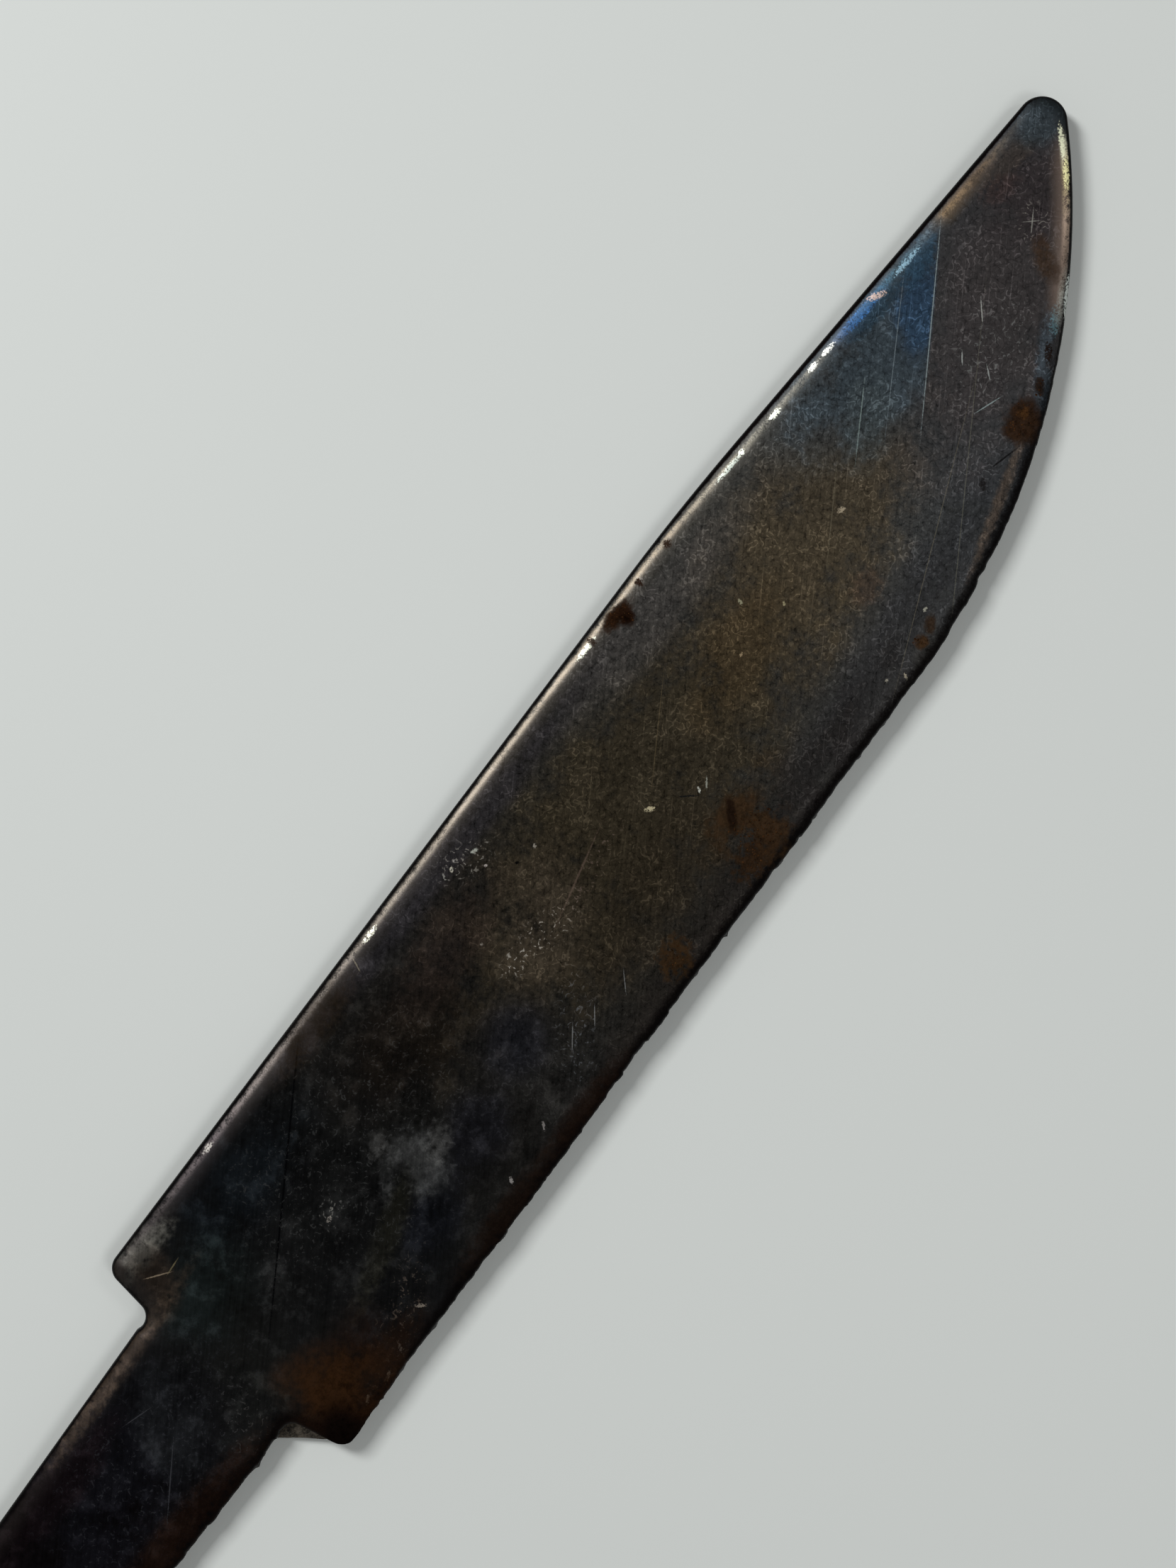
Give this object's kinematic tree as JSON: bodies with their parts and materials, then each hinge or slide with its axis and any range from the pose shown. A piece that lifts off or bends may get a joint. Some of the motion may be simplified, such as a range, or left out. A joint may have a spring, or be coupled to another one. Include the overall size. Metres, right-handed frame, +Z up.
{
  "type": "knife blade",
  "caption": "Flat pressed-steel knife blade blank with a straight spine, a curved belly, relieved shoulders and a plain tapering tang for a handle.",
  "frame": {"origin": "on the blade's centre line, at its shoulders, on the underside that it rests on", "axes": "+X from the tang towards the tip, +Y from the cutting edge towards the spine, +Z up out of the rolled face"},
  "size_m": [0.217, 0.0251, 0.003],
  "materials": {
    "blade_steel": "bare steel darkened by heat treatment: blue-black oxide scale, straw and blue temper colours, light rust and scratches"
  },
  "bodies": {
    "root": {"blade": "blade_steel"}
  },
  "joints": []
}
